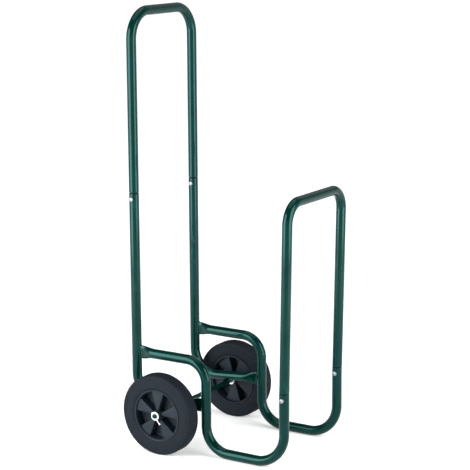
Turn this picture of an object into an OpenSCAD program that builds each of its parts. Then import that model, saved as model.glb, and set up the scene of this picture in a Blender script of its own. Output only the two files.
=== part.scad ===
// Wheeled log rack of bent steel tube: two side frames, a tall handle bar, a low front bar,
// an axle and two solid-tyred wheels. Millimetres, +Z up, ground at Z = 0.
// X runs from the handle legs to the front, Y across the rack, the middle plane is Y = 0.

/* [Frame] */
// Outside diameter of the frame tube
tube_d = 24; // [20:0.5:27]
// Wall of the frame tube
tube_wall = 1.5; // [1:0.1:2]
// Distance between the centre lines of the two side frames
frame_w = 262; // [230:1:320]
// Distance from the handle legs to the front uprights, at the front joints
frame_len = 420; // [390:1:500]
// Height of the handle bar's centre line
handle_z = 1066; // [800:1:1250]
// Height of the joint in each handle leg
handle_joint_z = 631; // [450:1:700]
// Height of the front bar's centre line
front_z = 640; // [400:1:800]
// Height of the joint in each front upright
front_joint_z = 190; // [160:1:260]
// Height of the rear shelf's centre line
shelf_z = 234; // [222:1:280]
// Distance from the handle legs to the upright part of the side rails
upright_x = 202; // [196:1:230]

/* [Bends] */
// Centre line radius of the handle bar's bends
handle_bend_r = 68; // [45:1:90]
// Centre line radius of the front bar's bends
front_bend_r = 50; // [40:1:70]
// Centre line radius of the bend from shelf to upright
shelf_bend_r = 53; // [40:1:60]
// Centre line radius of the bend from upright to ground run
heel_bend_r = 62; // [45:1:70]
// Centre line radius of the bend from ground run to front upright
toe_bend_r = 77; // [50:1:85]
// Centre line radius of the bend at the foot of each handle leg
leg_bend_r = 64; // [50:1:75]

/* [Pressed ends] */
// Height of a pressed flat tube end
press_h = 33; // [28:0.5:34]
// Thickness of a pressed flat tube end
press_t = 8; // [6:0.5:12]
// Length over which the tube changes from round to flat
press_len = 30; // [20:1:40]
// Length of the flat part, from the middle of the tube it is welded to
press_flat = 20; // [16:1:26]

/* [Tube joints] */
// Length of the reduced end that plugs into the lower tube
plug_len = 40; // [30:1:60]
// Clearance around the reduced end, on the radius
plug_gap = 0.4; // [0.1:0.05:0.5]
// Distance of the joint bolt below the joint
bolt_drop = 15; // [10:0.5:20]
// Joint bolt thread diameter
bolt_d = 6; // [4:0.5:8]
// Joint bolt head diameter
bolt_head_d = 10.5; // [8:0.5:14]
// Joint bolt head height
bolt_head_h = 3.3; // [2:0.1:5]
// Bolt length that stands out beyond the nut
bolt_spare = 2.5; // [0:0.5:5]
// Clearance around a bolt in its hole, on the radius
bolt_gap = 0.2; // [0.05:0.05:0.4]
// Captive nut size across flats
nut_af = 10; // [7:0.5:11]
// Nut height
nut_h = 5; // [3:0.5:7]

/* [Wheels] */
// Wheel diameter
wheel_d = 200; // [180:1:210]
// Tyre width
tyre_w = 40; // [34:1:46]
// Radius of the tyre's rounded shoulders
shoulder_r = 8; // [6:0.5:14]
// Diameter on which the tyre sits
seat_d = 129; // [120:1:134]
// Distance from the handle legs to the axle
axle_x = 97; // [90:1:112]
// Axle diameter
axle_d = 12; // [10:0.5:14]
// Distance from a side frame's centre line to the middle of its wheel
wheel_offset = 43; // [41:0.5:60]
// Rim width
rim_w = 36; // [30:1:40]
// Thickness of the rim's band
rim_band = 4.5; // [3:0.5:7]
// Thickness of the rim's spoke faces and pocket floors
rim_skin = 3; // [2:0.5:4]
// Depth of the spoke faces behind the rim's edge
spoke_set_back = 4; // [1:0.5:8]
// Depth of the pockets between the spokes
pocket_depth = 20; // [8:1:22]
// Spoke angle at the rim, degrees
spoke_deg = 35; // [28:1:44]
// Outside diameter of the rim's hub
hub_d = 25; // [22:0.5:34]
// Length of the rim's hub
hub_len = 44; // [40:0.5:50]
// Wall of the bearing bush
bush_wall = 2; // [1:0.5:3]
// Running clearance of the bush on the axle, on the radius
axle_gap = 0.08; // [0.03:0.01:0.1]
// Wheel washer outside diameter
washer_d = 21; // [19:0.5:26]
// Wheel washer thickness
washer_t = 1.8; // [1:0.1:3]
// End play between a hub and each of its washers
end_play = 0.5; // [0.3:0.1:1.5]
// Split pin diameter
pin_d = 2.5; // [2:0.1:4]
// Split pin length below its eye
pin_len = 31; // [22:1:40]
// Distance of a split pin's middle from the washer it holds
pin_set = 1.6; // [1.5:0.1:4]
// Axle length beyond the outer split pin
axle_end = 2.5; // [2:0.5:12]

/* [Hidden] */
$fn = 48;
e = 0.01;
tr = tube_d / 2;
bore_r = tr - tube_wall;
half_w = frame_w / 2;
// Worked-out lengths are cut to a hundredth of a millimetre, so that neighbours meet exactly.
function cut(v) = round(v * 100) / 100;
// The axle lies at the wheels' radius above the ground, under the two brace runs.
axle_z = wheel_d / 2;
axle_r = axle_d / 2;
// The brace run rises forwards like the right triangle with sides 237, 3116 and 3125.
rise_sin = 0.07584;
rise_cos = 0.99712;
// Centre line of the brace run directly above the axle.
brace_z = axle_z + (axle_r + tr) / rise_cos;
// Reduced end of an upper tube.
plug_r = bore_r - plug_gap;
plug_bore_r = plug_r - tube_wall;
bolt_r = bolt_d / 2;
hole_r = bolt_r + bolt_gap;
nut_r = nut_af / sqrt(3);
// The captive nut lies in the reduced end, its corners just clear of the bore on the head's side.
nut_y = cut(sqrt(pow(plug_bore_r, 2) - pow(nut_r, 2)) - 0.2);
// Stations across the rack, all measured outwards from the middle plane.
wheel_y = half_w + wheel_offset;
hub_in = wheel_y - hub_len / 2;
hub_out = wheel_y + hub_len / 2;
inner_washer_y = hub_in - end_play - washer_t;
outer_washer_y = hub_out + end_play;
inner_pin_y = inner_washer_y - pin_set;
outer_pin_y = outer_washer_y + washer_t + pin_set;
axle_half = outer_pin_y + axle_end;
bush_r = axle_r + axle_gap;
bush_out = bush_r + bush_wall;
seat_r = seat_d / 2;
key_h = 3;
key_w = 12;
weld_leg = 3;
// Length of the thick shoulder where an upper tube is drawn down to its reduced end.
plug_shoulder = 3;
// Handle leg: it turns at its foot by a little over a right angle, from upright to the brace run.
brace_x0 = leg_bend_r * (1 + rise_sin);
leg_bend_z = cut(brace_z + leg_bend_r * rise_cos - (axle_x - brace_x0) * rise_sin / rise_cos);
brace_z0 = leg_bend_z - leg_bend_r * rise_cos;
brace_len = cut((upright_x - brace_x0) / rise_cos);
brace_end_z = brace_z0 + (upright_x - brace_x0) * rise_sin / rise_cos;
// Side rail stations.
heel_x = upright_x + heel_bend_r;
ground_z = tr;
toe_cz = ground_z + toe_bend_r;
toe_cx = frame_len - toe_bend_r;
toe_up = front_joint_z - toe_cz;
// The front bar leans forwards as far as the play of its reduced ends lets it, about the
// middle of their length, and its shoulder then stands on the front of the rail's end.
front_lean = atan((plug_gap - 0.015) / (plug_len / 2));
front_seat = cut(tr * sin(front_lean) + 0.01);
front_leg = cut((front_z - front_joint_z) / cos(front_lean) - front_bend_r);
steel = [0.05, 0.33, 0.27];
zinc = [0.82, 0.83, 0.85];
rubber = [0.17, 0.18, 0.20];
plastic = [0.10, 0.10, 0.11];

// Straight tube stock of radius r along +Z from the origin.
module stick(r, len) {
    cylinder(r = r, h = len);
}

// Bend stock of radius r: starts at the origin going along +Z and turns towards +X by deg.
module bend(r, big_r, deg) {
    translate([big_r, 0, 0]) rotate([-90, 0, 0]) rotate([0, 0, 180])
        rotate_extrude(angle = deg, $fn = 96) translate([big_r, 0]) circle(r = r, $fn = 48);
}

// Steps to the far end of a bend, so that what follows again runs along +Z.
module after_bend(big_r, deg) {
    translate([big_r, 0, 0]) rotate([0, deg, 0]) translate([-big_r, 0, 0]) children();
}

// Half of an inverted U bar, from its joint up to the middle of its top, seen from the middle
// plane: the leg stands at Y = 0 and the top runs towards +X.
module half_u(r, leg, big_r) {
    stick(r, leg);
    translate([0, 0, leg]) {
        bend(r, big_r, 90);
        after_bend(big_r, 90) stick(r, half_w - big_r);
    }
}

module full_u(r, leg, big_r) {
    for (m = [0, 1]) mirror([0, m, 0])
        translate([0, -half_w, 0]) rotate([0, 0, 90]) half_u(r, leg, big_r);
}

// Hole for a joint bolt through a tube's side at -Y, bolt_drop below the joint plane.
module bolt_hole() {
    translate([0, 0, -bolt_drop]) rotate([90, 0, 0]) cylinder(r = hole_r, h = tube_d);
}

module bolt_hole_pair() {
    for (s = [-1, 1]) translate([0, s * half_w, 0]) bolt_hole();
}

// A hollow U bar with reduced ends that plug into the lower tubes.
module u_bar(leg, big_r) {
    difference() {
        union() {
            full_u(tr, leg, big_r);
            for (s = [-1, 1]) translate([0, s * half_w, -plug_len]) cylinder(r = plug_r, h = plug_len);
        }
        translate([0, 0, plug_shoulder]) full_u(bore_r, leg - plug_shoulder, big_r);
        for (s = [-1, 1]) translate([0, s * half_w, -plug_len - 1])
            cylinder(r = plug_bore_r, h = plug_len + 1 + plug_shoulder);
    }
}

module handle_bar() {
    color(steel) translate([0, 0, handle_joint_z]) difference() {
        u_bar(handle_z - handle_joint_z - handle_bend_r, handle_bend_r);
        bolt_hole_pair();
    }
}

module front_bar() {
    color(steel) translate([frame_len, 0, front_joint_z]) difference() {
        translate([0, 0, -plug_len / 2]) rotate([0, front_lean, 0])
            translate([0, 0, plug_len / 2 + front_seat]) u_bar(front_leg, front_bend_r);
        bolt_hole_pair();
    }
}

// Outline of a pressed tube end, in the plane across the tube: tall along X, thin along Y.
module press_outline(grow = 0) {
    intersection() {
        circle(d = press_h + 2 * grow);
        square([2 * press_h, press_t + 2 * grow], center = true);
    }
}

// Pressed flat end along +Z: round at the origin, flat after press_len, flat part to total.
// A cone gives its height and a wedge, thinner towards the end, its thickness.
module pressed_end(total) {
    t0 = tr + 0.5;
    t1 = press_t / 2;
    intersection() {
        union() {
            cylinder(r1 = tr, r2 = press_h / 2, h = press_len);
            translate([0, 0, press_len]) cylinder(d = press_h, h = total - press_len);
        }
        rotate([90, 0, 90]) linear_extrude(2 * press_h, center = true)
            polygon([[-t0, 0], [t0, 0], [t1, press_len], [t1, total], [-t1, total], [-t1, press_len]]);
    }
}

// The handle leg's path as solid stock of radius r: from the joint down, round the foot bend
// and along the brace run, as far as the start of the pressed end.
brace_round = cut(brace_len - press_flat - press_len);
leg_len = handle_joint_z - leg_bend_z;
module leg_turned() {
    translate([leg_bend_r, 0, 0])
        multmatrix([[-rise_sin, 0, rise_cos, 0], [0, 1, 0, 0], [-rise_cos, 0, -rise_sin, 0], [0, 0, 0, 1]])
            translate([-leg_bend_r, 0, 0]) children();
}

module leg_path(r) {
    rotate([180, 0, 0]) {
        stick(r, leg_len);
        translate([0, 0, leg_len]) {
            difference() {
                bend(r, leg_bend_r, 120);
                leg_turned() translate([-tube_d, -tube_d, 0]) cube([2 * tube_d, 2 * tube_d, 2 * leg_bend_r]);
            }
            leg_turned() stick(r, brace_round);
        }
    }
}

module rear_leg() {
    difference() {
        union() {
            translate([0, 0, handle_joint_z]) leg_path(tr);
            translate([0, 0, handle_joint_z]) rotate([180, 0, 0]) translate([0, 0, leg_len])
                leg_turned() translate([0, 0, brace_round]) pressed_end(brace_len - brace_round);
        }
        translate([0, 0, handle_joint_z]) leg_path(bore_r);
        translate([0, 0, handle_joint_z - 1]) cylinder(r = bore_r, h = 2);
        translate([0, 0, handle_joint_z]) bolt_hole();
        // the pressed end is cut to the side rail's upright
        translate([upright_x, 0, 0]) cylinder(r = tr, h = handle_joint_z);
    }
}

// The side rail's path as solid stock of radius r, from the start of the shelf's round part.
shelf_x0 = press_flat + press_len;
upright_len = shelf_z - shelf_bend_r - ground_z - heel_bend_r;
module rail_path(r) {
    translate([shelf_x0, 0, shelf_z]) rotate([0, 90, 0])
        stick(r, upright_x - shelf_bend_r - shelf_x0);
    translate([upright_x - shelf_bend_r, 0, shelf_z - shelf_bend_r]) rotate([90, 0, 0])
        rotate_extrude(angle = 90, $fn = 96) translate([shelf_bend_r, 0]) circle(r = r, $fn = 48);
    translate([upright_x, 0, ground_z + heel_bend_r]) stick(r, upright_len);
    translate([heel_x, 0, ground_z + heel_bend_r]) rotate([90, 0, 0]) rotate([0, 0, 180])
        rotate_extrude(angle = 90, $fn = 96) translate([heel_bend_r, 0]) circle(r = r, $fn = 48);
    translate([heel_x, 0, ground_z]) rotate([0, 90, 0]) stick(r, toe_cx - heel_x);
    translate([toe_cx, 0, toe_cz]) rotate([90, 0, 0]) rotate([0, 0, 270])
        rotate_extrude(angle = 90, $fn = 96) translate([toe_bend_r, 0]) circle(r = r, $fn = 48);
    translate([frame_len, 0, toe_cz]) stick(r, toe_up);
}

module side_rail() {
    difference() {
        union() {
            rail_path(tr);
            translate([shelf_x0, 0, shelf_z]) rotate([0, -90, 0]) pressed_end(shelf_x0);
        }
        rail_path(bore_r);
        translate([frame_len, 0, front_joint_z - 1]) stick(bore_r, 2);
        translate([frame_len, 0, front_joint_z]) bolt_hole();
        // the pressed end is cut to the handle leg
        cylinder(r = tr, h = handle_joint_z);
    }
}

module rear_leg_left() {
    color(steel) translate([0, -half_w, 0]) rear_leg();
}

module rear_leg_right() {
    color(steel) translate([0, half_w, 0]) rear_leg();
}

module side_rail_left() {
    color(steel) translate([0, -half_w, 0]) side_rail();
}

module side_rail_right() {
    color(steel) translate([0, half_w, 0]) side_rail();
}

module wheel_axle() {
    color(steel) difference() {
        translate([axle_x, 0, axle_z]) rotate([90, 0, 0]) cylinder(r = axle_r, h = 2 * axle_half, center = true);
        for (s = [-1, 1], y = [inner_pin_y, outer_pin_y]) pin_place(s, y)
            cylinder(r = pin_d / 2 + 0.1, h = 2 * axle_d, center = true);
    }
}

// Weld bead between a side rail's pressed end and the handle leg.
module shelf_welds() {
    color(steel) for (s = [-1, 1]) translate([0, s * half_w, 0]) difference() {
        translate([0, 0, shelf_z]) rotate([0, 90, 0]) linear_extrude(tr + weld_leg) press_outline(weld_leg / 2);
        translate([0, 0, shelf_z]) rotate([0, 90, 0]) linear_extrude(2 * tube_d) press_outline();
        cylinder(r = tr, h = handle_joint_z);
    }
}

// Frame at the middle of the upright, looking back along the brace run.
module brace_end() {
    translate([upright_x, 0, brace_end_z])
        multmatrix([[-rise_sin, 0, -rise_cos, 0], [0, 1, 0, 0], [rise_cos, 0, -rise_sin, 0], [0, 0, 0, 1]])
            children();
}

// Weld bead between a handle leg's pressed end and the side rail's upright.
module brace_welds() {
    color(steel) for (s = [-1, 1]) translate([0, s * half_w, 0]) difference() {
        brace_end() linear_extrude(tr + weld_leg) press_outline(weld_leg / 2);
        brace_end() translate([0, 0, -1]) linear_extrude(2 * tube_d) press_outline();
        translate([upright_x, 0, 0]) cylinder(r = tr, h = handle_joint_z);
    }
}

// Weld metal that fills the corner between the axle and each brace run above it.
module axle_welds() {
    weld_r = axle_r + 1.5;
    color(steel) for (s = [-1, 1]) translate([0, s * half_w, 0]) difference() {
        translate([axle_x, 0, axle_z]) cylinder(r = weld_r, h = brace_z - axle_z);
        translate([axle_x, 0, axle_z]) rotate([90, 0, 0]) cylinder(r = axle_r, h = 4 * tube_d, center = true);
        translate([0, 0, handle_joint_z]) rotate([180, 0, 0]) translate([0, 0, leg_len])
            leg_turned() stick(tr, brace_round);
    }
}

// The four tube joints: each child is placed with its origin on the tube's centre line, at the
// height of the bolt.
module at_joints() {
    for (s = [-1, 1]) {
        translate([0, s * half_w, handle_joint_z - bolt_drop]) children();
        translate([frame_len, s * half_w, front_joint_z - bolt_drop]) children();
    }
}

// Bolt along Y: head on the side at -Y, end just beyond the captive nut.
module joint_bolts() {
    shank = tr - nut_y + nut_h + bolt_spare;
    color(zinc) at_joints() translate([0, -tr, 0]) rotate([-90, 0, 0]) {
        cylinder(r = bolt_r, h = shank);
        difference() {
            translate([0, 0, -bolt_head_h]) cylinder(d = bolt_head_d, h = bolt_head_h + 1);
            translate([0, 0, 0]) cylinder(d = bolt_head_d + 1, h = 2);
            // cross recess
            for (a = [0, 90]) rotate([0, 0, a]) translate([-2.4, -0.6, -bolt_head_h - e]) cube([4.8, 1.2, 1.6]);
        }
    }
}

module joint_nuts() {
    color(zinc) at_joints() translate([0, -nut_y, 0]) rotate([-90, 0, 0]) difference() {
        cylinder(r = nut_r, h = nut_h, $fn = 6);
        translate([0, 0, -1]) cylinder(r = bolt_r, h = nut_h + 2);
    }
}

module wheel_washers() {
    color(zinc) for (s = [-1, 1], y = [inner_washer_y, outer_washer_y]) mirror([0, s < 0 ? 1 : 0, 0])
        translate([axle_x, y + washer_t, axle_z]) rotate([90, 0, 0]) difference() {
            cylinder(d = washer_d, h = washer_t);
            translate([0, 0, -1]) cylinder(r = axle_r + bolt_gap, h = washer_t + 2);
        }
}

// Split pin place: along Z, tilted about the axle.
pin_tilt = 40;
module pin_place(s, y) {
    translate([axle_x, s * y, axle_z]) rotate([0, s < 0 ? 180 - pin_tilt : pin_tilt, 0]) children();
}

// Split pin through the axle, with its eye on the side at -Z.
module split_pins() {
    eye_r = pin_d * 0.9;
    eye_gap = pin_d * 0.3;
    color(zinc) for (s = [-1, 1], y = [inner_pin_y, outer_pin_y]) pin_place(s, y) {
        translate([0, 0, -axle_r - eye_gap]) cylinder(d = pin_d, h = pin_len);
        translate([0, 0, -axle_r - eye_gap - eye_r]) rotate([90, 0, 0])
            rotate_extrude() translate([eye_r, 0]) circle(d = pin_d / 2);
    }
}

// Wheel parts are drawn about the origin with the axis along +Z, outer face at +Z.
module wheel_place(s) {
    translate([axle_x, s * wheel_y, axle_z]) rotate([s < 0 ? 90 : -90, 0, 0]) children();
}

module tyre() {
    rotate_extrude($fn = 128) difference() {
        union() {
            translate([seat_r, -tyre_w / 2]) square([axle_z - shoulder_r - seat_r, tyre_w]);
            translate([seat_r, -tyre_w / 2 + shoulder_r]) square([axle_z - seat_r, tyre_w - 2 * shoulder_r]);
            for (s = [-1, 1]) translate([axle_z - shoulder_r, s * (tyre_w / 2 - shoulder_r)])
                circle(r = shoulder_r);
        }
        translate([seat_r - 1, -key_w / 2]) square([key_h + 1, key_w]);
    }
}

// Angle sector in the XY plane, half angle ha, centred on +X.
module sector(ha, r) {
    polygon([[0, 0], [r * cos(ha), -r * sin(ha)], [r * 1.1, 0], [r * cos(ha), r * sin(ha)]]);
}

module rim() {
    front = rim_w / 2 - spoke_set_back;
    floor_top = front - pocket_depth;
    band_in = seat_r - rim_band;
    difference() {
        union() {
            // band with the key that holds the tyre
            difference() {
                union() {
                    translate([0, 0, -rim_w / 2]) cylinder(r = seat_r, h = rim_w);
                    translate([0, 0, -key_w / 2]) cylinder(r = seat_r + key_h, h = key_w);
                }
                translate([0, 0, -rim_w / 2 - 1]) cylinder(r = band_in, h = rim_w + 2);
            }
            // wheel disc, cut below into spokes and pockets
            translate([0, 0, floor_top - rim_skin]) cylinder(r = band_in + 1, h = front - floor_top + rim_skin);
            translate([0, 0, -hub_len / 2]) cylinder(d = hub_d, h = hub_len);
        }
        // pockets from the front
        for (i = [0:4]) rotate([0, 0, i * 72 + 36]) difference() {
            translate([0, 0, floor_top]) linear_extrude(pocket_depth + 1) intersection() {
                sector((72 - spoke_deg) / 2, band_in * 1.3);
                difference() {
                    circle(r = band_in - 1.5);
                    circle(r = hub_d / 2 + 2);
                }
            }
        }
        // hollows behind the spokes
        for (i = [0:4]) rotate([0, 0, i * 72]) translate([0, 0, floor_top - rim_skin - 1])
            linear_extrude(pocket_depth + 1) intersection() {
                translate([4.5, 0]) sector(spoke_deg / 2 - 1, band_in * 1.3);
                difference() {
                    circle(r = band_in - 1.5);
                    circle(r = hub_d / 2 + 2);
                }
            }
        translate([0, 0, -hub_len]) cylinder(r = bush_out, h = 2 * hub_len);
    }
}

module hub_bush() {
    difference() {
        translate([0, 0, -hub_len / 2]) cylinder(r = bush_out, h = hub_len);
        translate([0, 0, -hub_len]) cylinder(r = bush_r, h = 2 * hub_len);
    }
}

// Turns of the two wheels at rest, degrees.
turn_left = 88;
turn_right = 88;
module tyre_left() {
    color(rubber) wheel_place(-1) tyre();
}

module tyre_right() {
    color(rubber) wheel_place(1) tyre();
}

module rim_left() {
    color(plastic) wheel_place(-1) rotate([0, 0, turn_left]) rim();
}

module rim_right() {
    color(plastic) wheel_place(1) rotate([0, 0, turn_right]) rim();
}

module hub_bush_left() {
    color("white") wheel_place(-1) hub_bush();
}

module hub_bush_right() {
    color("white") wheel_place(1) hub_bush();
}

handle_bar();
front_bar();
rear_leg_left();
rear_leg_right();
side_rail_left();
side_rail_right();
wheel_axle();
shelf_welds();
brace_welds();
axle_welds();
joint_bolts();
joint_nuts();
wheel_washers();
split_pins();
tyre_left();
tyre_right();
rim_left();
rim_right();
hub_bush_left();
hub_bush_right();
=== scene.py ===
import bpy, math
import numpy as np
from mathutils import Matrix, Vector


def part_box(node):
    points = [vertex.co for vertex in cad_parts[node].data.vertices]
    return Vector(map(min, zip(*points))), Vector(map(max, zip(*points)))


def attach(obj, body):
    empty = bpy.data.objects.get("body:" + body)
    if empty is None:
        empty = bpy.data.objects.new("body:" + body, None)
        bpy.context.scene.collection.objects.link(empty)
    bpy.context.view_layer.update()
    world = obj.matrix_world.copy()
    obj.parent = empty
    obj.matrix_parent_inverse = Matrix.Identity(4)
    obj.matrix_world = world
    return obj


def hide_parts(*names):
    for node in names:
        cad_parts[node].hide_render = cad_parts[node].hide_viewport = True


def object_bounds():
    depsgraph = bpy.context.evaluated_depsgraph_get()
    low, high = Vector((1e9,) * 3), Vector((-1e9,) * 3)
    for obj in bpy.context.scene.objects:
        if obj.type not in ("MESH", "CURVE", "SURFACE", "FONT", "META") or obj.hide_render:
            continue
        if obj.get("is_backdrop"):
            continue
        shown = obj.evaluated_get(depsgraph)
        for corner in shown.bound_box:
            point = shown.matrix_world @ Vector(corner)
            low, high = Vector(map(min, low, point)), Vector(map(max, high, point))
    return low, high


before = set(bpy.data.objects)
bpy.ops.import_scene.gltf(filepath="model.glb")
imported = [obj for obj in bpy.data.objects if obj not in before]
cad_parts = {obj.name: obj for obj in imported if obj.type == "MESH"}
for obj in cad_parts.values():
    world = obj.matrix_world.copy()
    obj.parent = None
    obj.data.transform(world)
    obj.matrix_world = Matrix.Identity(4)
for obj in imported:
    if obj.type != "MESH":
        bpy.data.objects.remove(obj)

cad_lo, cad_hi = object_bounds()
rng = np.random.default_rng(7)
TAU = 2 * math.pi

# ---- places taken from the CAD frame, in metres ----
def mid(n):
    lo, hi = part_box(n)
    return (Vector(lo) + Vector(hi)) / 2

lo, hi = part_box("rear_leg_right")
TUBE_R = (hi.y - lo.y) / 2                              # frame tube radius
HALF_W = (hi.y + lo.y) / 2                              # side frame to middle plane
HANDLE_JOINT_Z = hi.z                                   # joint in the handle legs
HANDLE_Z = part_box("handle_bar")[1].z - TUBE_R           # centre line of the handle bar
FRONT_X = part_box("side_rail_left")[1].x - TUBE_R        # front upright
SHELF_Z = 0.234                                         # shelf centre line
UPRIGHT_X = 0.202                                       # rear upright of the side rail
FRONT_JOINT_Z = 0.190                                   # joint in the front uprights
AXLE = mid("wheel_axle")                                # axle centre
AXLE_R = (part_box("wheel_axle")[1].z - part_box("wheel_axle")[0].z) / 2
WHEEL_R = (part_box("tyre_left")[1].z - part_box("tyre_left")[0].z) / 2
RISE = (0.99712, 0.07584)                               # cosine and sine of the brace run's slope
LEAN = math.atan(0.385 / 20)                            # forward lean of the front bar
LEAN_DROP = 0.020                                       # the lean starts this far below the joint
FRONT_TOP_Z = 0.640                                     # centre line of the front bar's top


# ---- meshes ----
def mesh_piece(name, verts, faces, body, slot, node, mat, smooth=40):
    """Makes one mesh object from an (n, 3) array and a list of index faces, puts it on a body and lets
    it replace a CAD node. Edges turned by more than smooth degrees stay sharp."""
    me = bpy.data.meshes.new(name)
    me.from_pydata(np.asarray(verts, float).tolist(), [], [tuple(int(i) for i in f) for f in faces])
    me.validate()
    me.update()
    ob = bpy.data.objects.new(name, me)
    bpy.context.scene.collection.objects.link(ob)
    me.polygons.foreach_set("use_smooth", [True] * len(me.polygons))
    me.set_sharp_from_angle(angle=math.radians(smooth))
    me.materials.append(mat)
    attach(ob, body)
    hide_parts(node)
    return ob


def quads(nu, nv, close_u=False, flip=False):
    """Faces of an nu by nv grid of points, row by row, closed in v, and in u where asked."""
    u = np.arange(nu if close_u else nu - 1)[:, None]
    v = np.arange(nv)[None, :]
    a = u * nv + v
    b = u * nv + (v + 1) % nv
    c = (u + 1) % nu * nv + (v + 1) % nv
    d = (u + 1) % nu * nv + v
    f = np.stack([a, b, c, d] if not flip else [a, d, c, b], -1).reshape(-1, 4)
    return f.tolist()


def caps(nu, nv):
    """The two end faces of an nu by nv grid that is open in u."""
    return [list(range(nv))[::-1], [(nu - 1) * nv + k for k in range(nv)]]


def join(parts):
    """Stacks (verts, faces) pairs into one."""
    vs, fs, n = [], [], 0
    for v, f in parts:
        vs.append(np.asarray(v, float))
        fs += [[i + n for i in q] for q in f]
        n += len(v)
    return np.concatenate(vs), fs


def route(corners, radii, step=0.004):
    """Straight runs between corners, joined by arcs: at a corner with turn t and radius r the arc
    starts r tan(t/2) before it. Returns points along the way, step apart or a little less."""
    c = [np.asarray(p, float) for p in corners]
    out = [c[0]]
    last = c[0]
    for i in range(1, len(c) - 1):
        a, b = c[i] - c[i - 1], c[i + 1] - c[i]
        a, b = a / np.linalg.norm(a), b / np.linalg.norm(b)
        t = math.acos(float(np.clip(a @ b, -1, 1)))
        cut = radii[i - 1] * math.tan(t / 2)
        s, e = c[i] - a * cut, c[i] + b * cut
        n = max(1, int(np.linalg.norm(s - last) / step))
        out += [last + (s - last) * k / n for k in range(1, n + 1)]
        side = (b - a * (a @ b)) / math.sin(t)
        m = max(4, int(radii[i - 1] * t / step * 1.6))
        for k in range(1, m + 1):
            w = t * k / m
            out.append(s + radii[i - 1] * (a * math.sin(w) + side * (1 - math.cos(w))))
        last = e
    n = max(1, int(np.linalg.norm(c[-1] - last) / step))
    out += [last + (c[-1] - last) * k / n for k in range(1, n + 1)]
    return np.array(out)


def sweep(path, normal, size, sides, power=2.0):
    """Carries an oval along a path and caps both ends. With b the fixed normal, t the tangent and
    n = b x t, a point is P + hn cn n + hb cb b, where cn and cb are |cos|^(2/power) and
    |sin|^(2/power) with their signs. size(s, total) gives hn and hb, and power may be a function of
    s too."""
    p = np.asarray(path, float)
    t = np.gradient(p, axis=0)
    t /= np.linalg.norm(t, axis=1)[:, None]
    b = np.broadcast_to(np.asarray(normal, float), p.shape)
    b = b - t * (b * t).sum(1)[:, None]
    b /= np.linalg.norm(b, axis=1)[:, None]
    n = np.cross(b, t)
    s = np.concatenate([[0], np.cumsum(np.linalg.norm(np.diff(p, axis=0), axis=1))])
    hn, hb = size(s, s[-1])
    pw = power(s, s[-1]) if callable(power) else np.full(len(p), float(power))
    a = np.arange(sides) * TAU / sides
    ca, sa = np.cos(a)[None, :], np.sin(a)[None, :]
    ex = (2 / pw)[:, None]
    cn = np.sign(ca) * np.abs(ca) ** ex
    cb = np.sign(sa) * np.abs(sa) ** ex
    v = p[:, None] + n[:, None] * (cn * hn[:, None])[..., None] + b[:, None] * (cb * hb[:, None])[..., None]
    return v.reshape(-1, 3), quads(len(p), sides) + caps(len(p), sides)


def revolve(profile, centre, axis, seg=96, closed=False):
    """Turns (distance along the axis, radius) pairs about an axis through centre: each point is
    centre + d axis + r (cos a u + sin a v). Radii of zero close to a pole."""
    ax = np.asarray(axis, float)
    u = np.array([1.0, 0, 0]) if abs(ax[0]) < 0.9 else np.array([0, 1.0, 0])
    u = u - ax * (u @ ax)
    u /= np.linalg.norm(u)
    w = np.cross(ax, u)
    pr = np.asarray(profile, float)
    a = np.arange(seg) * TAU / seg
    ring = np.cos(a)[:, None] * u + np.sin(a)[:, None] * w
    v = np.asarray(centre, float) + pr[:, None, :1] * ax + pr[:, None, 1:] * ring[None]
    return v.reshape(-1, 3), quads(len(pr), seg, close_u=closed, flip=True)


# ---- materials ----
def srgb(h):
    """Linear colour of an sRGB hex string."""
    c = [int(h[i:i + 2], 16) / 255 for i in (0, 2, 4)]
    return tuple((x / 12.92 if x <= 0.04045 else ((x + 0.055) / 1.055) ** 2.4) for x in c) + (1.0,)


class Mat:
    """A node material: add() places a node with settings and links by socket name."""

    def __init__(self, name):
        self.m = bpy.data.materials.new(name)
        self.m.use_nodes = True
        self.t = self.m.node_tree
        self.b = self.t.nodes["Principled BSDF"]

    def add(self, kind, ins=None, **props):
        n = self.t.nodes.new(kind)
        for k, v in props.items():
            setattr(n, k, v)
        for k, v in (ins or {}).items():
            self.put(n, k, v)
        return n

    def put(self, n, k, v):
        s = n.inputs[k]
        if isinstance(v, bpy.types.NodeSocket):
            self.t.links.new(v, s)
        else:
            s.default_value = v

    def coords(self, scale=(1, 1, 1)):
        c = self.add("ShaderNodeTexCoord")
        return self.add("ShaderNodeMapping", {"Vector": c.outputs["Object"], "Scale": scale}).outputs[0]

    def noise(self, vec, mm, detail=3.0, rough=0.55):
        """Noise whose blobs are about mm millimetres across."""
        return self.add("ShaderNodeTexNoise", {"Vector": vec, "Scale": 1000.0 / mm, "Detail": detail,
                                               "Roughness": rough}).outputs["Fac"]

    def ramp(self, fac, lo, hi, a=0.0, b=1.0):
        return self.add("ShaderNodeMapRange", {"Value": fac, "From Min": lo, "From Max": hi, "To Min": a,
                                               "To Max": b}).outputs["Result"]

    def mix(self, fac, a, b):
        n = self.add("ShaderNodeMix", data_type="RGBA")
        for k, v in ((0, fac), (6, a), (7, b)):
            self.put(n, k, v)
        return n.outputs[2]

    def maths(self, op, a, b):
        return self.add("ShaderNodeMath", {0: a, 1: b}, operation=op).outputs[0]

    def bump(self, height, mm, strength):
        return self.add("ShaderNodeBump", {"Height": height, "Distance": mm / 1000.0,
                                           "Strength": strength}).outputs[0]

    def out(self, **ins):
        for k, v in ins.items():
            self.put(self.b, k.replace("_", " "), v)
        return self.m


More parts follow.
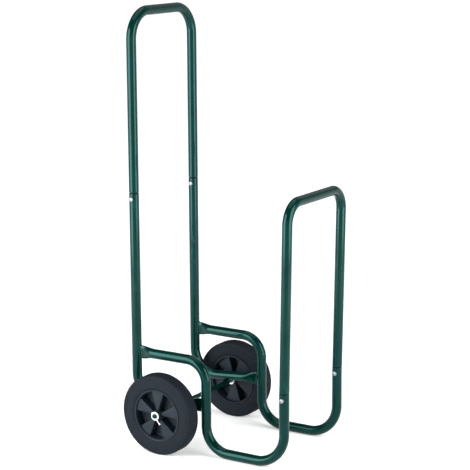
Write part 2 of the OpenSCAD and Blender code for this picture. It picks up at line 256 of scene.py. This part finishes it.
def paint_material():
    """Dark green powder coat: orange peel 2.5 mm across, clouds 60 mm across, dust specks 0.8 mm
    across, a reflection tinted green, and dull rubbed patches 9 mm wide drawn out upwards."""
    m = Mat("green_powder_coat")
    v = m.coords()
    peel = m.noise(v, 2.5, 2.0)
    cloud = m.noise(v, 60, 3.0)
    speck = m.noise(v, 0.8, 1.0)
    scuff = m.noise(m.coords((1, 1, 0.25)), 9, 3.0, 0.5)
    worn = m.maths("MULTIPLY", m.ramp(scuff, 0.60, 0.72), m.ramp(m.noise(v, 90, 1.0), 0.55, 0.65))
    col = m.mix(m.ramp(cloud, 0.35, 0.65), srgb("001C18"), srgb("00221E"))
    col = m.mix(m.maths("MULTIPLY", m.ramp(speck, 0.77, 0.83), 0.12), col, srgb("2E6F62"))
    col = m.mix(m.maths("MULTIPLY", worn, 0.14), col, srgb("2F7166"))
    rough = m.maths("ADD", m.ramp(cloud, 0.3, 0.7, 0.10, 0.15), m.maths("MULTIPLY", worn, 0.07))
    return m.out(Base_Color=col, Roughness=rough, IOR=1.5, Specular_IOR_Level=0.26,
                 Specular_Tint=srgb("A2F2EC"), Normal=m.bump(peel, 0.02, 0.1))


def zinc_material(name, light, dark, metal):
    """Zinc plate: clouds 4 mm across between two greys, fine pits 0.4 mm across."""
    m = Mat(name)
    v = m.coords()
    col = m.mix(m.ramp(m.noise(v, 4, 3.0), 0.3, 0.7), srgb(light), srgb(dark))
    return m.out(Base_Color=col, Metallic=metal, Roughness=m.ramp(m.noise(v, 1.5), 0.3, 0.7, 0.34, 0.48),
                 Normal=m.bump(m.noise(v, 0.4), 0.02, 0.6))


def rubber_material():
    """Matt dark grey solid rubber: bloom in clouds 25 mm across, dust in patches 3 mm
    across, skin grain 0.6 mm across."""
    m = Mat("solid_rubber")
    v = m.coords()
    bloom = m.noise(v, 25, 4.0, 0.6)
    dust = m.noise(v, 3, 5.0, 0.7)
    col = m.mix(m.ramp(bloom, 0.3, 0.7), srgb("10151B"), srgb("161C23"))
    col = m.mix(m.maths("MULTIPLY", m.ramp(dust, 0.6, 0.75), 0.25), col, srgb("2E3238"))
    return m.out(Base_Color=col, Roughness=m.ramp(bloom, 0.3, 0.7, 0.62, 0.74), IOR=1.45,
                 Specular_IOR_Level=0.11, Normal=m.bump(m.noise(v, 0.6, 3.0), 0.05, 0.5))


def plastic_material(name, dark, light, shine):
    """Moulded plastic: spark-eroded grain 0.8 mm across, faint flow clouds 18 mm across."""
    m = Mat(name)
    v = m.coords()
    cloud = m.noise(v, 18, 3.0)
    col = m.mix(m.ramp(cloud, 0.3, 0.7), srgb(dark), srgb(light))
    return m.out(Base_Color=col, Roughness=m.ramp(cloud, 0.3, 0.7, 0.42, 0.52), IOR=1.49,
                 Specular_IOR_Level=shine, Normal=m.bump(m.noise(v, 0.8, 2.0), 0.04, 0.5))


PAINT, RUBBER = paint_material(), rubber_material()
ZINC = zinc_material("bright_zinc_plate", "F2F4F8", "E4E5E3", 0.55)
DULL_ZINC = zinc_material("dull_zinc_plate", "9A9DA2", "84868A", 0.9)
RIM = plastic_material("grained_black_plastic", "101820", "172029", 0.17)
NYLON = plastic_material("natural_nylon", "C9C5B8", "D4D0C4", 0.5)


# ---- frame tubes ----
ROLL = 0.0014                                           # rounding of a cut tube end
PRESS_FLAT, PRESS_TAPER = 0.0085, 0.030                 # flat part of a pressed end, then its taper
PRESS_H, PRESS_T = 0.0165, 0.004                        # half height and half thickness of a pressed end
PRESS_POWER = 2.9                                       # exponent of the oval at a pressed end
BITE = 0.0022                                           # a pressed end reaches this far into a tube
GAP = 0.0005                                            # half the open joint between two tubes


def tube_size(press_start, press_end, roll_start, roll_end):
    """Half sizes of a tube along its length: round, drawn down over PRESS_TAPER to the flat part at
    a pressed end, and rolled in by ROLL at a cut end."""
    def size(s, total):
        hn, hb = np.full(len(s), TUBE_R), np.full(len(s), TUBE_R)
        for on, d in ((press_start, s), (press_end, total - s)):
            if on:
                w = 1 - np.clip((d - PRESS_FLAT) / PRESS_TAPER, 0, 1)
                w = w * w * (3 - 2 * w)
                hn, hb = hn + (PRESS_H - TUBE_R) * w, hb + (PRESS_T - TUBE_R) * w
        for on, d in ((roll_start, s), (roll_end, total - s)):
            if on:
                w = np.clip(1 - d / ROLL, 0, 1)
                k = 1 - (1 - np.sqrt(np.clip(1 - w * w, 0, 1))) * ROLL / TUBE_R
                hn, hb = hn * k, hb * k
        return hn, hb
    return size


def press_power(at_start):
    """Exponent of the oval: 2 where round, PRESS_POWER where pressed flat."""
    def power(s, total):
        w = 1 - np.clip(((s if at_start else total - s) - PRESS_FLAT) / PRESS_TAPER, 0, 1)
        return 2 + (PRESS_POWER - 2) * w
    return power


def fine_ends(path, start, end):
    """Adds stations close to a tube's cut ends, where the edge is rounded."""
    p = list(path)
    d = [0.0, 0.00015, 0.0004, 0.0008, ROLL, 0.002]
    if start:
        t = (p[1] - p[0]) / np.linalg.norm(p[1] - p[0])
        p = [p[0] + t * k for k in d] + p[1:]
    if end:
        t = (p[-2] - p[-1]) / np.linalg.norm(p[-2] - p[-1])
        p = p[:-1] + [p[-1] + t * k for k in d[::-1]]
    return np.array(p)


def tube_piece(name, corners, radii, normal, node, press_start=False, press_end=False, roll_start=False,
               roll_end=False):
    """A painted tube along corners; at most one of its ends is pressed."""
    p = fine_ends(route(corners, radii), roll_start, roll_end)
    power = press_power(press_start) if press_start or press_end else 2.0
    v, f = sweep(p, normal, tube_size(press_start, press_end, roll_start, roll_end), 48, power)
    return mesh_piece(name, v, f, "frame", "painted_steel", node, PAINT)


def leaned(y, d):
    """Point of the front bar: d up its leg from the joint, on the side at y."""
    s, c = math.sin(LEAN), math.cos(LEAN)
    return (FRONT_X + (LEAN_DROP + d) * s, y, FRONT_JOINT_Z - LEAN_DROP + (LEAN_DROP + d) * c)


# bend radii of the centre lines: handle bar, front bar, rear legs, side rails from the shelf round
HANDLE_BEND, FRONT_BEND, LEG_BEND, RAIL_BENDS = 0.068, 0.050, 0.064, [0.053, 0.062, 0.077]
foot = HANDLE_JOINT_Z + GAP
tube_piece("handle_tube",
           [(0, -HALF_W, foot), (0, -HALF_W, HANDLE_Z), (0, HALF_W, HANDLE_Z), (0, HALF_W, foot)],
           [HANDLE_BEND] * 2, (1, 0, 0), "handle_bar", roll_start=True, roll_end=True)
seat = TUBE_R * math.sin(LEAN) + GAP
top = (FRONT_TOP_Z - FRONT_JOINT_Z) / math.cos(LEAN) + seat
tube_piece("front_tube",
           [leaned(-HALF_W, seat), leaned(-HALF_W, top), leaned(HALF_W, top), leaned(HALF_W, seat)],
           [FRONT_BEND] * 2, (math.cos(LEAN), 0, -math.sin(LEAN)), "front_bar", roll_start=True,
           roll_end=True)
brace_z = AXLE.z + (AXLE_R + TUBE_R) / RISE[0]
slope = RISE[1] / RISE[0]
corner_z = brace_z - AXLE.x * slope
end_x = UPRIGHT_X - TUBE_R + BITE
for side, y in (("left", -HALF_W), ("right", HALF_W)):
    tube_piece("handle_leg_" + side,
               [(0, y, HANDLE_JOINT_Z - GAP), (0, y, corner_z), (end_x, y, corner_z + end_x * slope)],
               [LEG_BEND], (0, 1, 0), "rear_leg_" + side, roll_start=True, press_end=True)
    tube_piece("side_rail_tube_" + side,
               [(TUBE_R - BITE, y, SHELF_Z), (UPRIGHT_X, y, SHELF_Z), (UPRIGHT_X, y, TUBE_R),
                (FRONT_X, y, TUBE_R), (FRONT_X, y, FRONT_JOINT_Z - GAP)],
               RAIL_BENDS, (0, 1, 0), "side_rail_" + side, press_start=True, roll_end=True)


# ---- weld beads ----
def bead(points, radius, pitch=0.0024, sides=14, closed=True, taper=False):
    """A weld bead along points: its radius swells by 14 percent once every pitch and drifts a little
    at random, and with taper it shrinks to its ends as the square root of a sine."""
    p = np.asarray(points, float)
    d = np.linalg.norm(np.diff(p, axis=0), axis=1)
    s = np.concatenate([[0], np.cumsum(d)])
    q = np.linspace(0, s[-1], max(24, int(s[-1] / pitch * 6)))
    q = q[:-1] if closed else q
    p = np.stack([np.interp(q, s, p[:, i]) for i in range(3)], 1)
    drift = 0.05 * rng.standard_normal(len(q)).cumsum() / 12
    r = radius * (1 + 0.14 * np.abs(np.sin(q * math.pi / pitch)) + drift)
    if taper:
        r = r * np.sqrt(np.clip(np.sin(np.linspace(0.03, math.pi - 0.03, len(q))), 0.02, 1))
    t = np.roll(p, -1, 0) - np.roll(p, 1, 0) if closed else np.gradient(p, axis=0)
    t /= np.linalg.norm(t, axis=1)[:, None]
    ref = np.array([0.31, 0.17, 0.93])
    b = np.cross(t, np.broadcast_to(ref, t.shape))
    for i in range(1, len(b)):
        b[i] = b[i - 1] - t[i] * (b[i - 1] @ t[i])
        b[i] /= np.linalg.norm(b[i])
    b[0] /= np.linalg.norm(b[0])
    n = np.cross(b, t)
    a = np.arange(sides) * TAU / sides
    ring = np.cos(a)[None, :, None] * n[:, None] + np.sin(a)[None, :, None] * b[:, None]
    v = p[:, None] + r[:, None, None] * ring
    f = quads(len(p), sides, close_u=closed)
    return v.reshape(-1, 3), f if closed else f + caps(len(p), sides)


def press_loop(x, z, sign, tilt):
    """Line where a pressed end meets an upright tube at x: an oval of half height PRESS_H and half
    thickness PRESS_T, bent round the tube: x + sign sqrt(TUBE_R^2 - y^2)."""
    a = np.arange(97) * TAU / 96
    ez = np.sign(np.sin(a)) * np.abs(np.sin(a)) ** (2 / PRESS_POWER) * PRESS_H
    ey = np.sign(np.cos(a)) * np.abs(np.cos(a)) ** (2 / PRESS_POWER) * PRESS_T
    return np.stack([x + sign * np.sqrt(TUBE_R * TUBE_R - ey * ey), ey, z + ez + tilt * sign * TUBE_R], 1)


for label, x, z, sign, tilt in (("shelf", 0.0, SHELF_Z, 1, 0.0),
                                ("brace", UPRIGHT_X, corner_z + UPRIGHT_X * slope, -1, slope)):
    parts = [bead(press_loop(x, z, sign, tilt) + np.array([0, y, 0]), 0.0019) for y in (-HALF_W, HALF_W)]
    mesh_piece(label + "_weld_beads", *join(parts), "frame", "painted_steel", label + "_welds", PAINT, 60)
parts = []
for y in (-HALF_W, HALF_W):
    for sx in (-1, 1):
        yy = np.linspace(y - 0.0085, y + 0.0085, 12)
        arc = 0.0012 * np.cos(np.linspace(-1.2, 1.2, 12))
        off = sx * 0.0062
        pts = np.stack([np.full(12, AXLE.x + off), yy, AXLE.z + 0.0045 + arc + off * slope], 1)
        parts.append(bead(pts, 0.0032, closed=False, taper=True))
mesh_piece("axle_weld_beads", *join(parts), "frame", "painted_steel", "axle_welds", PAINT, 60)

# ---- axle ----
y0, y1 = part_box("wheel_axle")[0].y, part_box("wheel_axle")[1].y
bevel = 0.0012                                          # of the axle's ends
soft = bevel * 0.3
v, f = revolve([(y0, 0), (y0, AXLE_R - bevel), (y0 + soft, AXLE_R - soft), (y0 + bevel, AXLE_R), (0, AXLE_R),
                (y1 - bevel, AXLE_R), (y1 - soft, AXLE_R - soft), (y1, AXLE_R - bevel), (y1, 0)],
               (AXLE.x, 0, AXLE.z), (0, 1, 0), 64)
mesh_piece("axle_rod", v, f, "frame", "painted_steel", "wheel_axle", PAINT)


# ---- wheels ----
def tyre(side, sgn):
    """Solid tyre: profile d along the axle and r. The side walls swell 1.6 mm from the seat outwards,
    a groove 0.4 mm deep runs by the shoulder, and the crowned tread has fine ribs of 2.4 mm pitch and
    0.22 mm height."""
    lo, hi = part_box("tyre_" + side)
    cy, hwid = (lo.y + hi.y) / 2, (hi.y - lo.y) / 2
    seat_r, sh = 0.0645, 0.0085
    prof = [(0, seat_r - 0.0004), (hwid - 0.0035, seat_r - 0.0004), (hwid - 0.0030, seat_r + 0.0006)]
    for r, d in ((0.0665, 0.0016), (0.0690, 0.0008), (0.0730, 0.0003), (0.0780, 0.0), (0.0830, 0.0001),
                 (0.0870, 0.0003), (0.0880, 0.0003),
                 (0.0884, 0.0007), (0.0888, 0.0003), (0.0910, 0.0004)):
        prof.append((hwid - d, r))
    for k in range(1, 15):
        a = math.pi / 2 * k / 15
        prof.append((hwid - sh + sh * math.cos(a) - 0.0006 * math.cos(a), WHEEL_R - sh + sh * math.sin(a)
                     + (0.00022 if k % 2 and k > 3 else 0)))
    half = np.linspace(hwid - sh, 0, 56)
    for d in half:
        w = 0.5 + 0.5 * math.cos(TAU * d / 0.0024)
        prof.append((d, WHEEL_R - 0.0009 * (d / (hwid - sh)) ** 2 - 0.00022 * w))
    right = [(-d, r) for d, r in prof[::-1]][1:]
    right = right[:-1]
    return revolve([(d * sgn, r) for d, r in prof + right], (AXLE.x, cy, AXLE.z), (0, 1, 0), 160, closed=True)


SPOKE = math.radians(35)                                # width of a spoke
TURN = math.radians(88)                                 # how far both wheels are turned


def rim(side, sgn):
    """Moulded rim, one polar surface: rings of radius r and angle t. Five fan spokes with radial
    sides, 35 degrees wide, stand between pockets; the front is F(r, t) and the back is the pocket
    floor or the hollow behind a spoke."""
    lo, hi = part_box("rim_" + side)
    cy = (lo.y + hi.y) / 2
    half, seat_r = 0.018, 0.0645
    band_in, hub_r, bore = seat_r - 0.0045, 0.0125, 0.00815
    front, floor_top, skin = half - 0.004, half - 0.024, 0.003
    seg = 360
    t0 = np.arange(seg) * TAU / seg
    local = (t0 + math.pi / 5) % (TAU / 5) - math.pi / 5

    def spoke(r, grow=0.0):
        """Half angle of a spoke at radius r, widened by grow on each side."""
        return SPOKE / 2 + grow / r

    def step(x, w):
        x = np.clip(x / w * 0.5 + 0.5, 0, 1)
        return x * x * (3 - 2 * x)

    def borders(r):
        """One near the outer band and one near the hub, each falling to nothing between them."""
        return (step(np.full(seg, r - (band_in - 0.0012)), 0.0010),
                step(np.full(seg, hub_r + 0.0018 - r), 0.0010))

    def front_face(r):
        inside = step((spoke(r) - np.abs(local)) * r, 0.0012)
        near_band, near_hub = borders(r)
        solid = np.maximum(inside, np.maximum(near_hub, near_band))
        crown = 0.0006 * np.cos(np.clip(np.abs(local) / spoke(r), 0, 1) * math.pi / 2)
        return floor_top + (front + crown - floor_top) * solid

    def back_face(r):
        inside = step((spoke(r, -0.0026) - np.abs(local)) * r, 0.0012)
        near_band, near_hub = borders(r)
        hollow = inside * (1 - near_hub) * (1 - near_band)
        return floor_top - skin + (front - floor_top) * hollow

    rings = []
    hl = (hi.y - lo.y) / 2
    for d, r in ((hl, bore), (hl, bore + 0.0006), (hl, hub_r - 0.0008), (hl - 0.0003, hub_r - 0.0003),
                 (hl - 0.001, hub_r)):
        rings.append((np.full(seg, d), r))
    for r in np.concatenate([[hub_r + 0.0004], np.linspace(hub_r + 0.001, band_in - 0.002, 30),
                             np.linspace(band_in - 0.0016, band_in - 0.0001, 5)]):
        rings.append((front_face(r), r))
    for d, r in ((half - 0.0022, band_in + 0.0002), (half - 0.0004, band_in + 0.0005),
                 (half, band_in + 0.0010), (half, seat_r - 0.0022), (half + 0.0004, seat_r - 0.0017),
                 (half + 0.0009, seat_r - 0.0010), (half + 0.0009, seat_r - 0.0002),
                 (half + 0.0003, seat_r + 0.0003), (half - 0.002, seat_r)):
        rings.append((np.full(seg, d), r))
    for d, r in ((-half + 0.002, seat_r), (-half - 0.0006, seat_r - 0.0004),
                 (-half - 0.0006, seat_r - 0.0018), (-half, seat_r - 0.0022), (-half, band_in + 0.0010),
                 (-half + 0.0010, band_in + 0.0002)):
        rings.append((np.full(seg, d), r))
    for r in np.concatenate([np.linspace(band_in - 0.0001, band_in - 0.0016, 5),
                             np.linspace(band_in - 0.002, hub_r + 0.001, 30), [hub_r + 0.0004]]):
        rings.append((back_face(r), r))
    for d, r in ((-hl + 0.001, hub_r), (-hl, hub_r - 0.001), (-hl, bore)):
        rings.append((np.full(seg, d), r))
    a = t0 + TURN
    v = [np.stack([AXLE.x + r * np.cos(a), cy + sgn * d, AXLE.z + r * np.sin(a)], 1) for d, r in rings]
    return np.concatenate(v), quads(len(rings), seg, close_u=True, flip=sgn < 0)


for side, sgn in (("left", -1), ("right", 1)):
    body = "wheel_" + side
    v, f = tyre(side, sgn)
    mesh_piece("solid_tyre_" + side, v, f, body, "tyre_rubber", "tyre_" + side, RUBBER, 60)
    v, f = rim(side, sgn)
    mesh_piece("moulded_rim_" + side, v, f, body, "rim_plastic", "rim_" + side, RIM, 38)
    lo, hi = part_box("hub_bush_" + side)
    br = (hi.z - lo.z) / 2
    pr = [(lo.y, AXLE_R + 0.0001), (lo.y, br - 0.0003), (lo.y + 0.0003, br), (hi.y - 0.0003, br),
          (hi.y, br - 0.0003), (hi.y, AXLE_R + 0.0001)]
    v, f = revolve(pr, (AXLE.x, 0, AXLE.z), (0, 1, 0), 48, closed=True)
    mesh_piece("bearing_bush_" + side, v, f, body, "bush_plastic", "hub_bush_" + side, NYLON)

# ---- washers and split pins ----
WASHER_Y = (0.1497, 0.1965)                             # inner faces of the washers
PIN_Y = (0.1481, 0.1999)                                # split pins
PIN_TILT = math.radians(40)                             # from upright
parts = []
for s in (-1, 1):
    for y in WASHER_Y:
        a, b, ri, ro, c = y, y + 0.0018, AXLE_R + 0.0002, 0.0105, 0.0003
        corners = ((a + c, ri), (a, ri + c), (a, ro - c), (a + c, ro), (b - c, ro), (b, ro - c), (b, ri + c),
                   (b - c, ri))
        pr = [(s * d, r) for d, r in corners]
        v, f = revolve(pr if s > 0 else pr[::-1], (AXLE.x, 0, AXLE.z), (0, 1, 0), 64, closed=True)
        parts.append((v, f))
mesh_piece("axle_washers", *join(parts), "frame", "zinc_steel", "wheel_washers", ZINC)


def wire(points, radius):
    """Round wire of fixed radius along smooth points, domed at both ends."""
    p = np.asarray(points, float)
    k = np.linspace(0, 1, 6)
    t = p[1] - p[0]
    t /= np.linalg.norm(t)
    e = p[-1] - p[-2]
    e /= np.linalg.norm(e)
    dome = radius * np.sin((1 - k) * math.pi / 2)
    head = np.array([p[0] - t * d for d in dome])
    tail = np.array([p[-1] + e * d for d in dome[::-1]])
    q = np.concatenate([head[:-1], p, tail[1:]])
    r = np.full(len(q), radius)
    fall = radius * np.sqrt(np.clip(1 - (dome / radius) ** 2, 0.0004, 1))
    r[:6], r[-6:] = fall, fall[::-1]
    return sweep(q, (0, 1, 0), lambda s, total: (r, r), 14)


def split_pin(s, y):
    """Folded wire: an eye ring, then two legs side by side through the axle, one end bent aside."""
    w, eye = 0.00058, 0.0022
    out = []
    d = np.array([math.sin(PIN_TILT), 0, s * math.cos(PIN_TILT)])
    n = np.array([d[2], 0, -d[0]])
    for g in (-1, 1):
        ring = [(g * eye * math.sin(k), -eye * math.cos(k)) for k in np.linspace(0.0, 2.75, 14)]
        down = [(g * w * 1.02, k) for k in np.linspace(0.0036, 0.029, 9)]
        tip = [(g * w + (g - 0.4) * 0.0011 * u * u, 0.029 + 0.0045 * u) for u in (0.33, 0.66, 1.0)]
        pts = np.array(ring + down + tip)
        along, across = pts[:, 1] - 0.0091, pts[:, 0]
        out.append(wire(np.array([AXLE.x, s * y, AXLE.z]) + along[:, None] * d + across[:, None] * n, w))
    return out


parts = []
for s in (-1, 1):
    for y in PIN_Y:
        parts += split_pin(s, y)
mesh_piece("folded_split_pins", *join(parts), "frame", "zinc_steel", "split_pins", ZINC)

# ---- joint bolts ----
SHANK = (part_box("joint_nuts")[1].y - HALF_W) + TUBE_R + 0.0025
BOLT_DROP = 0.015                                       # bolts sit this far below a joint


def dome_head(c, r=0.00525, h=0.0033):
    """Domed head: a rim of radius r and a cap of height h, with a cross slot 1.2 mm deep in it; the shank
    runs through the tube's side to just beyond the captive nut."""
    seg, rows = 72, []
    a = np.arange(seg) * TAU / seg
    for q in (0.0, 0.1, 0.2, 0.3, 0.38, 0.46, 0.54, 0.62, 0.7, 0.8, 0.9, 0.97, 1.0):
        x, z = q * r * np.cos(a), q * r * np.sin(a)
        top = h * (0.28 + 0.72 * math.sqrt(max(0.0, 1 - (q * 0.98) ** 2)))
        arm = np.minimum(np.abs(x), np.abs(z))
        reach = np.maximum(np.abs(x), np.abs(z))
        slot = np.clip((0.00075 - arm) / 0.0003, 0, 1) * np.clip((0.0026 - reach) / 0.0004, 0, 1)
        rows.append(np.stack([c[0] + x, c[1] - top + 0.0012 * slot, c[2] + z], 1))
    for d, rr in ((0.0, r), (0.0, 0.003), (SHANK - 0.0005, 0.003), (SHANK, 0.0025), (SHANK, 0.0)):
        rows.append(np.stack([c[0] + rr * np.cos(a), np.full(seg, c[1] + d), c[2] + rr * np.sin(a)], 1))
    return np.concatenate(rows), quads(len(rows), seg)


joints = ((0.0, HANDLE_JOINT_Z), (FRONT_X, FRONT_JOINT_Z))
parts = [dome_head((x, s * HALF_W - TUBE_R, z - BOLT_DROP)) for s in (-1, 1) for x, z in joints]
mesh_piece("domed_joint_bolts", *join(parts), "frame", "zinc_steel", "joint_bolts", DULL_ZINC)
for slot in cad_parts["joint_nuts"].material_slots:
    slot.material = DULL_ZINC

# ---- studio ----
CAM_AZ = math.radians(31.79)                            # the view turns this far from +Y
ACROSS = (math.cos(CAM_AZ), math.sin(CAM_AZ), 0.0)      # to the right of the view
AWAY = (-math.sin(CAM_AZ), math.cos(CAM_AZ), 0.0)       # away from the viewer


def floor_material():
    """Floor with painted light: a plain pale panel that glows though it is no lamp, a little near the object
    and more so away from it.
    """
    m = Mat("painted_glow_floor")
    c = m.add("ShaderNodeTexCoord").outputs["Object"]
    away = m.add("ShaderNodeVectorMath", {0: c}, operation="LENGTH").outputs["Value"]
    cloud = m.ramp(m.noise(c, 900, 2.0), 0.3, 0.7)
    # painted light: the emission is 0.22 near the object and rises to 0.95 between 0.6 m and 3 m away
    return m.out(Base_Color=m.mix(cloud, srgb("F2F3F4"), srgb("F6F6F6")), Roughness=0.9,
                 Specular_IOR_Level=0.1, Emission_Color=(1, 1, 1, 1),
                 Emission_Strength=m.ramp(away, 0.6, 3.0, 0.22, 0.95))


def studio_floor(half=60):
    me = bpy.data.meshes.new("studio_floor")
    corners = [(-half, -half, 0), (half, -half, 0), (half, half, 0), (-half, half, 0)]
    me.from_pydata(corners, [], [(0, 1, 2, 3)])
    ob = bpy.data.objects.new("studio_floor", me)
    bpy.context.scene.collection.objects.link(ob)
    me.materials.append(floor_material())
    ob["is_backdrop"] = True


studio_floor()


def area(name, across, away, height, sx, sy, radiance, aim_z):
    """Soft box at a place given across and away from the view, aimed at height aim_z over the middle of
    the rack; its power is pi area radiance."""
    li = bpy.data.lights.new(name, "AREA")
    li.shape, li.size, li.size_y, li.energy = "RECTANGLE", sx, sy, math.pi * sx * sy * radiance
    ob = bpy.data.objects.new(name, li)
    bpy.context.scene.collection.objects.link(ob)
    ob.visible_camera = False
    c = (cad_lo + cad_hi) / 2
    ob.location = (c.x + across * ACROSS[0] + away * AWAY[0], c.y + across * ACROSS[1] + away * AWAY[1],
                   height)
    ob.rotation_mode = "QUATERNION"
    ob.rotation_quaternion = (Vector((c.x, c.y, aim_z)) - ob.location).to_track_quat("-Z", "Y")


area("left_softbox", -1.8, -1.0, 1.1, 1.6, 2.1, 10.0, 1.1)
area("right_softbox", 1.75, -1.1, 1.1, 1.4, 2.1, 9.0, 1.1)
area("top_softbox", -0.1, 0.1, 3.0, 2.2, 2.2, 1.6, 0.5)
area("rear_softbox", 1.15, 1.8, 2.5, 2.4, 1.8, 0.55, 0.9)


def studio_world():
    """Dim white room, pale as the floor up to 9 degrees over the horizon, 0.12 above 18 degrees."""
    world = bpy.data.worlds.new("studio_world")
    bpy.context.scene.world = world
    world.use_nodes = True
    t = world.node_tree
    split = t.nodes.new("ShaderNodeSeparateXYZ")
    ramp = t.nodes.new("ShaderNodeMapRange")
    t.links.new(t.nodes.new("ShaderNodeTexCoord").outputs["Generated"], split.inputs[0])
    t.links.new(split.outputs["Z"], ramp.inputs["Value"])
    for key, value in (("From Min", math.sin(math.radians(9))), ("From Max", math.sin(math.radians(18))),
                       ("To Min", 1.0), ("To Max", 0.12)):
        ramp.inputs[key].default_value = value
    back = t.nodes["Background"]
    back.inputs["Color"].default_value = (1, 1, 1, 1)
    t.links.new(ramp.outputs["Result"], back.inputs["Strength"])


studio_world()

# ---- camera ----
def camera():
    el, roll = math.radians(11.66), math.radians(-0.36)
    fwd = Vector((AWAY[0] * math.cos(el), AWAY[1] * math.cos(el), -math.sin(el)))
    right = Vector(ACROSS)
    up = right.cross(fwd)
    r2 = right * math.cos(roll) + up * math.sin(roll)
    u2 = -right * math.sin(roll) + up * math.cos(roll)
    cam = bpy.data.objects.new("camera", bpy.data.cameras.new("camera"))
    bpy.context.scene.collection.objects.link(cam)
    cam.data.lens, cam.data.sensor_width = 122.55, 36.0
    m = Matrix((r2, u2, -fwd)).transposed().to_4x4()
    m.translation = Vector((2.2184, -3.2458, 1.3110))
    cam.matrix_world = m
    cam.data.shift_x, cam.data.shift_y = -0.0006, 0.0012
    bpy.context.scene.camera = cam


camera()
bpy.context.scene.view_settings.view_transform = "Standard"
lo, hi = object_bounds()
